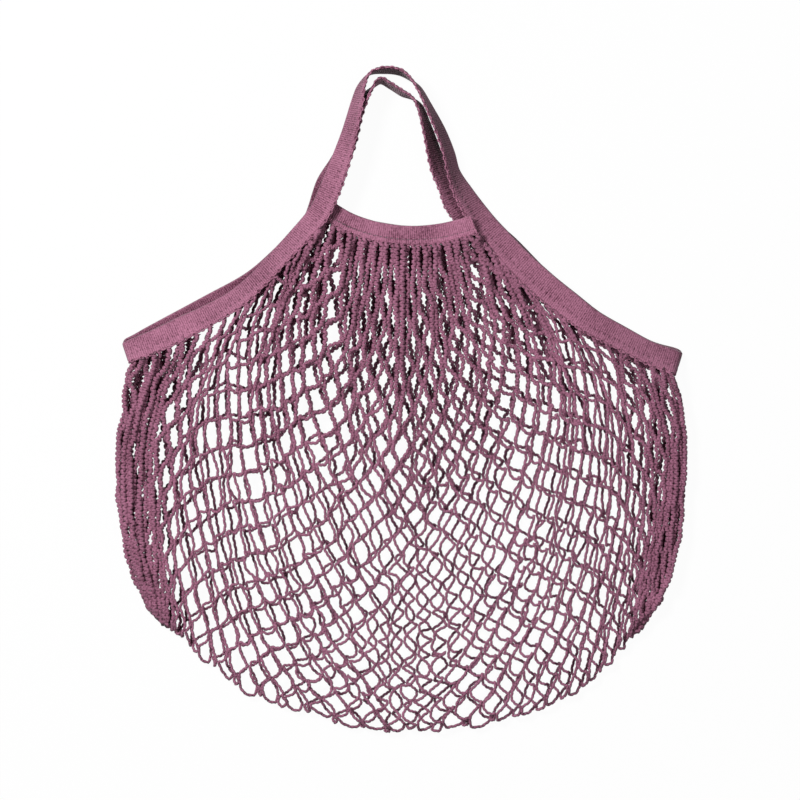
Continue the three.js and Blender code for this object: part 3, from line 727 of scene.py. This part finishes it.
# Where each join would lie if the strands' length didn't matter.
def netTargets(front, back, outline, rng):
    wales, rows = netLook["wales"], netLook["rows"]
    half = rows // 2
    column, row = np.meshgrid(np.arange(wales + 1), np.arange(rows), indexing="ij")
    isFront = row < half
    plain = column / wales
    # the bands cut across the rows, so the net has fewer of them towards its sides
    start = bent(startRows, plain)
    v = (np.where(isFront, row, rows - 1 - row) - start) / (half - 0.5 - start)
    v = np.clip(v, 0, 1)
    wide = np.clip((0.28 - np.abs(plain - 0.5)) / 0.12, 0, 1)
    v = v + wide * (bent(rowPlaces, v) - v)
    slip = rng.normal(0, netLook["rowDrift"] / half, v.shape) * np.clip(1 - v, 0.3, 1)
    v = np.where((v > 0.02) & (v < 0.95), np.clip(v + slip, 0.01, 1), v)
    # low on either side the back layer's joins lie under the front layer's, and in places
    # along the bottom, where narrow loops then take turns with wide ones
    aside = np.clip(np.abs(2 * plain - 1) * 3.4 - 0.25, 0, 1) * np.clip(v / 0.2 - 0.6, 0, 1)
    aside = aside * np.clip((1 - v) / 0.14, wide * 0.5, 1)
    patches = 0.6 + 0.4 * np.sin(2 * np.pi * plain * 7 + 1)
    under = np.maximum(aside, wide * patches * np.clip((v - 0.74) / 0.14, 0, 1))
    inside = np.clip(plain * 9 - 0.8, 0, 1) * np.clip((1 - plain) * 9 - 0.8, 0, 1)
    u = plain + np.where(isFront, 0, under * inside / wales)
    for layer, count in zip((isFront, ~isFront), netLook["bunches"]):
        wave = 2 * np.pi * count
        gathered = netLook["bunching"] * np.sin(wave * u + rng.uniform(0, 2 * np.pi)) / wave
        gathered = gathered * np.sin(np.pi * plain) ** 0.5
        gathered = gathered * np.clip(v / 0.12 + 0.2, 0, 1) * (1 - v) ** 1.5
        uneven = rng.normal(0, netLook["unevenness"] / wales, wales + 1)
        gathered = gathered + uneven[:, None] * (1 - v)
        u = np.where(layer, u + gathered, u)
    topFront, topBack = mouthPlace(front, u), mouthPlace(back, u)
    top = np.where(isFront[..., None], topFront, topBack)
    stages = np.stack([top[..., :2], *(runPlace(k, u) for k in (1, 2, 3)), foldPlace(outline, u)])
    padded = np.concatenate([2 * stages[:1] - stages[1:2], stages, 2 * stages[-1:] - stages[-2:-1]])
    cell = np.minimum((v * 4).astype(int), 3)
    part = (v * 4 - cell)[..., None]
    before, first, last, after = (
        np.take_along_axis(padded, (cell + k)[None, ..., None], axis=0)[0] for k in range(4)
    )
    point = 0.5 * (
        2 * first + (last - before) * part
        + (2 * before - 5 * first + 4 * last - after) * part ** 2
        + (3 * first - before - 3 * last + after) * part ** 3
    )
    scale = np.array([bagSizes["netHalfWidth"], -bagSizes["netDepth"]])
    for near, far, reach, draw in clumpRows:
        near, far = near * scale, far * scale
        part = np.clip(((point - near) @ (far - near)) / ((far - near) @ (far - near)), 0, 1)
        gap = near + part[..., None] * (far - near) - point
        close = draw * np.exp(-(gap ** 2).sum(axis=-1) / reach ** 2) * isFront
        point = point + gap * close[..., None]
    calm = np.sin(np.pi * v) * np.clip(plain * 6, 0, 1) * np.clip((1 - plain) * 6, 0, 1)
    calm = calm[..., None]
    for layer in (isFront, ~isFront):
        stray = np.stack([waver(point[..., 0], point[..., 1], rng) for k in range(2)], axis=-1)
        stray = stray + rng.normal(0, netLook["stray"], point.shape)
        point = np.where(layer[..., None], point + stray * calm, point)
    return column, row, point, top[..., 2], isFront, u, v


# The joins and the strands between them, each strand in a few pieces.
def netGraph(column, row, point, u, v):
    wales, rows, pieces = netLook["wales"], netLook["rows"], netLook["pieces"]
    exists = (column + row) % 2 == 0
    number = np.full(exists.shape, -1)
    number[exists] = np.arange(exists.sum())
    nodes = point[exists]
    found = []
    for step in (-1, 1):
        ok = exists & (column + step >= 0) & (column + step <= wales) & (row + 1 < rows)
        c, r = column[ok], row[ok]
        found.append(np.stack([number[c, r], number[c + step, r + 1], np.minimum(c, c + step), r]))
    top, low, wale, strandRow = np.concatenate(found, axis=1)
    strands = len(top)
    points = [nodes]
    chain = [top]
    for k in range(1, pieces):
        points.append(nodes[top] * (1 - k / pieces) + nodes[low] * k / pieces)
        chain.append(len(nodes) + (k - 1) * strands + np.arange(strands))
    chain.append(low)
    return {
        "points": np.vstack(points), "chain": np.array(chain), "nodes": len(nodes),
        "wale": wale, "row": strandRow, "firstLeft": found[0].shape[1],
        "nodeColumn": column[exists], "share": u[exists],
        "held": v[exists] <= 0, "pinned": np.nonzero(v[exists] <= 0)[0],
    }


# Lets the net find its rest: the joins are drawn to their places, the strands straighten
# a little, and every piece of a strand keeps its length.
def settle(net, outline, rng):
    wales, rows, pieces = netLook["wales"], netLook["rows"], netLook["pieces"]
    target = net["points"].copy()
    # the strands that turn from the front layer to the back one hang in shallow loops
    folding = np.nonzero(net["row"] == rows // 2 - 1)[0]
    startShare = net["share"][net["chain"][0, folding]]
    endShare = net["share"][net["chain"][-1, folding]]
    foldInner = net["chain"][1:pieces, folding]
    for k in range(1, pieces):
        share = startShare + (endShare - startShare) * k / pieces
        reach = math.sin(math.pi * k / pieces) ** 0.5
        inner = foldInner[k - 1]
        target[inner] = target[inner] * (1 - reach) + foldPlace(outline, share) * reach
    points = target + rng.normal(0, netLook["startStray"], target.shape)
    chain, nodes = net["chain"], net["nodes"]
    strands = chain.shape[1]
    chord = np.linalg.norm(target[chain[-1]] - target[chain[0]], axis=1)
    leastSlack, moreSlack = netLook["strandSlack"]
    slack = leastSlack + moreSlack * rng.random(strands) ** 2
    length = np.minimum(chord * slack, netLook["strandLength"])
    way = np.linalg.norm(np.diff(target[chain[:, folding]], axis=0), axis=-1).sum(axis=0)
    length[folding] = np.maximum(length[folding], way * leastSlack)
    rest = (length / pieces)[:, None]
    pinned = net["pinned"]
    sideNodes = np.nonzero((net["nodeColumn"] == 0) | (net["nodeColumn"] == wales))[0]
    batches = [
        (chain[k, part], chain[k + 1, part], rest[part])
        for k in range(pieces)
        for part in (slice(0, net["firstLeft"]), slice(net["firstLeft"], strands))
    ]
    for step in range(netLook["settleSteps"]):
        share = step / netLook["settleSteps"]
        pull = netLook["pull"][0] * (1 - share) + netLook["pull"][1] * share
        points[:nodes] += pull * (target[:nodes] - points[:nodes])
        points[foldInner] += netLook["foldPull"] * (target[foldInner] - points[foldInner])
        points[sideNodes] += netLook["sidePull"] * (target[sideNodes] - points[sideNodes])
        for k in range(1, pieces):
            middle = (points[chain[k - 1]] + points[chain[k + 1]]) / 2
            points[chain[k]] += netLook["straightening"] * (middle - points[chain[k]])
        for again in range(netLook["lengthPasses"]):
            for first, second, goal in batches:
                gap = points[second] - points[first]
                length = np.linalg.norm(gap, axis=1, keepdims=True) + 1e-9
                gap *= 0.5 * (length - goal) / length
                points[first] += gap
                points[second] -= gap
        points[pinned] = target[pinned]
    return points


# The two layers lie apart, rise to the bands at the mouth and meet at the folds.
def netHeights(points, net, edgeHeight, outline, u, v, isFront, column, row):
    spacing = bagSizes["layerSpacing"]
    backHeight = bagSizes["netThickness"] / 2
    exists = (column + row) % 2 == 0
    rise = np.zeros(u.shape)
    for columnShare, rowShare, spread, size in billowRows:
        far = np.hypot(u - columnShare, v - rowShare) / spread
        rise += np.where(far < 1, size * (1 + np.cos(np.pi * np.minimum(far, 1))) / 2, 0)
    frontHeight = backHeight + spacing + rise * bagSizes["billowHeight"]
    level = np.where(isFront, frontHeight, backHeight + 0.2)
    hang = np.clip(1 - v / 0.1, 0, 1)
    level = level * (1 - hang) + edgeHeight * hang
    nodeHeight = level[exists]
    nodes, chain, pieces = net["nodes"], net["chain"], netLook["pieces"]
    height = np.zeros(len(points))
    height[:nodes] = nodeHeight
    for k in range(1, pieces):
        part = k / pieces
        height[chain[k]] = nodeHeight[chain[0]] * (1 - part) + nodeHeight[chain[-1]] * part
    middle = backHeight + spacing / 2
    near = np.empty(len(points))
    batch = 2000    # points at a time, to spare memory
    for start in range(0, len(points), batch):
        gaps = points[start:start + batch, None] - outline[None, ::2]
        near[start:start + batch] = np.sqrt((gaps ** 2).sum(axis=2)).min(axis=1)
    fold = np.clip(near / bagSizes["netFoldReach"], 0, 1)
    openness = np.sqrt(np.maximum(0, 1 - (1 - fold) ** 2))
    return middle + (height - middle) * openness


# The points of each wale, from its band down the front, round the fold and up the back.
def walePaths(net):
    wales, rows, pieces = netLook["wales"], netLook["rows"], netLook["pieces"]
    strandAt = np.full((wales, rows - 1), -1)
    strandAt[net["wale"], net["row"]] = np.arange(net["chain"].shape[1])
    inner = net["chain"][:pieces, strandAt]
    body = inner.transpose(1, 2, 0).reshape(wales, -1)
    return np.concatenate([body, net["chain"][pieces, strandAt[:, -1]][:, None]], axis=1)


# Smooth curves through the points of the lines, in so many steps from point to point.
def smoothed(lines, times):
    before = np.concatenate([2 * lines[:, :1] - lines[:, 1:2], lines[:, :-2]], axis=1)
    start, end = lines[:, :-1], lines[:, 1:]
    after = np.concatenate([lines[:, 2:], 2 * lines[:, -1:] - lines[:, -2:-1]], axis=1)
    parts = []
    for k in range(times):
        t = k / times
        parts.append(0.5 * (
            2 * start + (end - before) * t
            + (2 * before - 5 * start + 4 * end - after) * t ** 2
            + (3 * start - before - 3 * end + after) * t ** 3
        ))
    stacked = np.stack(parts, axis=2)
    flat = stacked.reshape(lines.shape[0], -1, 3)
    return np.concatenate([flat, lines[:, -1:]], axis=1)


# Each chain leaves its band at a place of its own.
def hangFromBands(lines, front, back, topRow, lastRow, ownShare):
    pieces = netLook["pieces"]
    each = np.arange(netLook["wales"])
    frontEdge = mouthPlace(front, ownShare)
    backEdge = mouthPlace(back, ownShare)
    for ends, edge, step in ((topRow, frontEdge, 1), (lastRow, backEdge, -1)):
        shift = edge - lines[each, ends * pieces]
        for k in range(pieces):
            lines[each, ends * pieces + step * k] += shift * (1 - k / pieces)


# From 0 at a band to 1 where a gathered chain has thinned.
def thinningDown(count, topRow, lastRow):
    rows = np.arange(count)[None] / netLook["pieces"]
    fromBand = np.minimum(rows - topRow[:, None], lastRow[:, None] - rows)
    return np.clip(fromBand / netLook["hemRows"], 0, 1)


# Which way a wale's own strands lie from each of its joins, and how far.
def joinSides(lines):
    ends = lines[:, ::netLook["pieces"]]
    own = (ends[:, :-2] + ends[:, 2:]) / 2 - ends[:, 1:-1]
    course = unit(ends[:, 2:] - ends[:, :-2])
    own = own - course * (own * course).sum(axis=-1, keepdims=True)
    own[..., 2] = 0
    return own, np.linalg.norm(own, axis=-1)


# Two wales touch at a join instead of lying in one another.
def partAtJoins(lines, own, reach, fullness):
    joins = np.arange(netLook["pieces"], lines.shape[1] - 1, netLook["pieces"])
    shift = np.minimum(netLook["joinGap"] * fullness[:, joins], reach / 2)
    own = unit(own + 1e-6)
    lines[:, joins] += own * shift[..., None]
    nearShift = np.maximum(0, shift - reach / 4)[..., None]
    for step in (-1, 1):
        lines[:, joins + step] += own * nearShift


# No two strands bow alike.
def bowStrands(lines, thinning, rng):
    pieces = netLook["pieces"]
    steps = np.arange(lines.shape[1])
    bowed = np.sin(np.pi * (steps % pieces) / pieces) * thinning
    amount = rng.normal(0, netLook["bow"], (netLook["wales"], lines.shape[1] // pieces + 1))
    amount = amount[:, steps // pieces]
    direction = unit(np.gradient(lines, axis=1))
    lines[..., 0] -= direction[..., 1] * bowed * amount
    lines[..., 1] += direction[..., 0] * bowed * amount


# The chains' skin, as rings that swell and shrink by turns. The thin ones stand off to one
# side and the other, as a chain's stitches do. Returns the rings' points and their painted shade.
def chainSkin(lines, fullness, slack):
    lines = smoothed(lines, netLook["ringsPerPiece"])
    forward = unit(np.gradient(lines, axis=1))
    up = np.zeros_like(forward)
    up[..., 2] = 1
    sideways = unit(np.cross(forward, up) + 1e-4)
    upward = np.cross(sideways, forward)
    rings = lines.shape[1]
    turn = np.arange(rings) % 4
    beat = np.where(turn % 2 == 0, 1, -1)
    swing = np.select([turn == 1, turn == 3], [1, -1], 0)
    ringStep = np.minimum(np.arange(rings) // netLook["ringsPerPiece"], fullness.shape[1] - 1)
    stitchSwing = netLook["zigzag"] * fullness * (0.6 + 0.4 * slack)
    lines = lines + sideways * (stitchSwing[:, ringStep] * swing)[..., None]
    radius = fullness[:, ringStep] * (1 + netLook["bump"] * beat)
    lines[..., 2] = np.maximum(lines[..., 2], radius + netLook["floorGap"])
    around = 2 * np.pi * (np.arange(netLook["sides"]) + 0.5) / netLook["sides"]
    ring = (
        sideways[:, :, None] * np.cos(around)[None, None, :, None]
        + upward[:, :, None] * np.sin(around)[None, None, :, None]
    )
    skin = lines[:, :, None] + ring * radius[:, :, None, None]
    offSide = np.clip(-np.cos(around)[None] * swing[:, None], 0, 1)
    # painted light on the stitches' swellings and painted shade between them
    chainPaintedShade = netLook["stitchTone"] - netLook["stitchShade"] * beat[:, None]
    # painted shade on the hollow side of each stitch
    chainPaintedShade = np.clip(chainPaintedShade + netLook["hollowShade"] * offSide, 0, 1)
    return skin, np.broadcast_to(chainPaintedShade[None], skin.shape[:3])


def buildNet():
    rng = np.random.default_rng(netLook["seed"])
    wales = netLook["wales"]
    pieces = netLook["pieces"]
    front, back = mouthLines()
    outline = outlineLine()
    column, row, point, edgeHeight, isFront, u, v = netTargets(front, back, outline, rng)
    net = netGraph(column, row, point, u, v)
    points = settle(net, outline, rng)
    height = netHeights(points, net, edgeHeight, outline, u, v, isFront, column, row)
    height = height + rng.normal(0, netLook["heightStray"], len(height))
    height = np.maximum(height, netLook["radius"] + 2 * netLook["floorGap"])
    paths = walePaths(net)
    lines = np.column_stack([points, height])[paths]

    # the first and last join of each wale that a band holds
    held = net["held"][paths[:, ::pieces]]
    topRow = np.argmin(held, axis=1) - 1
    lastRow = held.shape[1] - np.argmin(held[:, ::-1], axis=1)
    ownShare = (np.arange(wales) + 0.5) / wales
    hangFromBands(lines, front, back, topRow, lastRow, ownShare)
    own, reach = joinSides(lines)

    # slack chains are fuller, and ride above or below one another
    thinning = thinningDown(lines.shape[1], topRow, lastRow)
    slack = bent(hemSlack, ownShare)[:, None] * (1 - thinning ** 1.2)
    slack = np.maximum(slack, bent(sideSlack, ownShare)[:, None])
    fullness = netLook["radius"] + (netLook["slackRadius"] - netLook["radius"]) * slack
    ride = rng.normal(0, netLook["crowding"], (wales, 2))
    onFront = np.arange(lines.shape[1])[None] < lines.shape[1] / 2
    lines[..., 2] += slack * np.where(onFront, ride[:, :1], ride[:, 1:])
    unlike = netLook["fullnessStray"] * slack * rng.uniform(-1, 1, (wales, 1))
    fullness = fullness * (1 + unlike)
    partAtJoins(lines, own, reach, fullness)
    bowStrands(lines, thinning, rng)
    skin, shade = chainSkin(lines, fullness, slack)

    perRow = netLook["ringsPerPiece"] * pieces
    foldRing = (netLook["rows"] // 2 - 1) * perRow + perRow // 2
    halfWales = wales // 2
    made = []
    for name, waleRange, layer in [
        ("net_front_left", range(0, halfWales), "front"),
        ("net_front_right", range(halfWales, wales), "front"),
        ("net_back_left", range(0, halfWales), "back"),
        ("net_back_right", range(halfWales, wales), "back"),
    ]:
        points, shades, faces, count = [], [], [], 0
        for wale in waleRange:
            first = topRow[wale] * perRow if layer == "front" else foldRing
            last = foldRing if layer == "front" else lastRow[wale] * perRow
            part = skin[wale, first:last + 1]
            points.append(part.reshape(-1, 3))
            shades.append(shade[wale, first:last + 1].ravel())
            faces.append([quads + count for quads in tubeFaces(1, len(part), netLook["sides"])])
            count += len(points[-1])
        sides = [np.vstack([group[k] for group in faces]) for k in range(3)]
        made.append(addMesh(name, np.vstack(points), sides, np.concatenate(shades)))
    return made


# Materials

def linear(hexColour):
    channels = [int(hexColour[i:i + 2], 16) / 255 for i in (1, 3, 5)]
    return [c / 12.92 if c <= 0.04045 else ((c + 0.055) / 1.055) ** 2.4 for c in channels] + [1]


def addNode(tree, kind, settings=None, links=None):
    node = tree.nodes.new(kind)
    for key, value in (settings or {}).items():
        if isinstance(key, int) or key in node.inputs:
            node.inputs[key].default_value = value
        else:
            setattr(node, key, value)
    for key, source in (links or {}).items():
        tree.links.new(source, node.inputs[key])
    return node


# Mercerised cotton knit, matt with a faint sheen. Its shade attribute carries painted shade, so its
# hollows are drawn darker than its ribs.
# Its single stitches are 1 mm or less, so their speckle is drawn a little coarser to show.
def cottonKnit(name, light, deep, speckle, speckleSize):
    material = bpy.data.materials.new(name)
    material.use_nodes = True
    tree = material.node_tree
    tree.nodes.clear()
    place = addNode(tree, "ShaderNodeTexCoord").outputs["Object"]
    shade = addNode(tree, "ShaderNodeAttribute", {"attribute_name": "shade"}).outputs["Fac"]
    patches = addNode(tree, "ShaderNodeTexNoise", {"Scale": 45.0, "Detail": 3.0}, {"Vector": place})
    fibres = addNode(tree, "ShaderNodeTexNoise", {"Scale": 1000 / speckleSize, "Detail": 3.0},
                     {"Vector": place})
    spread = addNode(tree, "ShaderNodeMapRange", {
        "From Min": 0.3, "From Max": 0.7, "To Min": -0.16, "To Max": 0.16,
    }, {"Value": patches.outputs["Fac"]})
    grain = addNode(tree, "ShaderNodeMapRange", {
        "From Min": 0.3, "From Max": 0.7, "To Min": -speckle, "To Max": speckle,
    }, {"Value": fibres.outputs["Fac"]})
    both = addNode(tree, "ShaderNodeMath", {"operation": "ADD"},
                   {0: spread.outputs["Result"], 1: grain.outputs["Result"]})
    dark = addNode(tree, "ShaderNodeMath", {"operation": "ADD", "use_clamp": True},
                   {0: shade, 1: both.outputs["Value"]})
    colour = addNode(tree, "ShaderNodeMix", {"data_type": "RGBA"}, {0: dark.outputs["Value"]})
    colour.inputs[6].default_value = linear(light)
    colour.inputs[7].default_value = linear(deep)
    bump = addNode(tree, "ShaderNodeBump", {"Strength": 0.35, "Distance": 0.0002},
                   {"Height": fibres.outputs["Fac"]})
    shader = addNode(tree, "ShaderNodeBsdfPrincipled", {
        "Roughness": 0.88, "Sheen Weight": 0.15, "Sheen Roughness": 0.5, "Specular IOR Level": 0.25,
    }, {"Base Color": colour.outputs[2], "Normal": bump.outputs["Normal"]})
    addNode(tree, "ShaderNodeOutputMaterial", links={"Surface": shader.outputs["BSDF"]})
    return material


def plainPaper():
    material = bpy.data.materials.new("white_paper")
    material.use_nodes = True
    tree = material.node_tree
    tree.nodes.clear()
    paper = addNode(tree, "ShaderNodeBsdfDiffuse", {"Color": (0.8, 0.8, 0.8, 1)})
    glow = addNode(tree, "ShaderNodeEmission", {"Color": (1, 1, 1, 1), "Strength": 1.0})
    mixed = addNode(tree, "ShaderNodeMixShader", {0: 0.96},
                    {1: paper.outputs["BSDF"], 2: glow.outputs["Emission"]})
    addNode(tree, "ShaderNodeOutputMaterial", links={"Surface": mixed.outputs["Shader"]})
    return material


def addFloor():
    bpy.ops.object.select_all(action="DESELECT")
    bpy.ops.mesh.primitive_plane_add(size=8, location=(0, 0, -0.0002))
    floor = bpy.context.active_object
    floor.name = "floor"
    floor.data.materials.append(plainPaper())
    floor.visible_diffuse = False


def addLight(name, place, size, power, colour="#FFFFFF"):
    data = bpy.data.lights.new(name, "AREA")
    data.shape = "DISK"
    data.size = size
    data.energy = power
    data.color = linear(colour)[:3]
    light = bpy.data.objects.new(name, data)
    light.location = place
    direction = -np.array(place)
    light.rotation_euler = (
        math.atan2(math.hypot(direction[0], direction[1]), -direction[2]),
        0,
        math.atan2(direction[1], direction[0]) - math.pi / 2,
    )
    bpy.context.scene.collection.objects.link(light)


def addLighting():
    world = bpy.data.worlds.new("studio")
    world.use_nodes = True
    world.node_tree.nodes["Background"].inputs["Color"].default_value = (1, 1, 1, 1)
    world.node_tree.nodes["Background"].inputs["Strength"].default_value = 0.07
    bpy.context.scene.world = world
    addLight("soft_key", (-1.1, 0.8, 1.6), 0.6, 48)
    addLight("soft_fill", (0.9, -0.2, 2.2), 1.0, 12)
    bpy.context.scene.view_settings.view_transform = "Standard"


addCamera()
bandKnit = cottonKnit("band_cotton_rib_knit", "#AE728C", "#4E2135", speckle=0.36, speckleSize=1.1)
netYarn = cottonKnit("net_cotton_chain", "#A66C86", "#45182B", speckle=0.34, speckleSize=1.0)

bands = {
    "handle_front": (0, stretchStart[1]),
    "edge_band_right": (stretchStart[1], stretchStart[4]),
    "handle_back": (stretchStart[4], stretchStart[5]),
    "edge_band_left": (stretchStart[5], stationCount),
}
for node, (start, end) in bands.items():
    sections = bandSections(loopStations, True, start, end, loopSize, ribSpacing())
    sewnBand(node, sections)
print("bands knitted")

for node, rows in (("centre_band_front", frontCentreRows), ("centre_band_back", backCentreRows)):
    stations = centreStations(rows)
    sections = bandSections(stations, False, 0, len(stations) - 1, centreSize, ribSpacing())
    sewnBand(node, sections, tapered=True)
print("centre bands knitted")

for piece in buildNet():
    piece.data.materials.append(netYarn)
    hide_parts("net_body")
    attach(piece, "root")
print("net knitted")

addFloor()
addLighting()
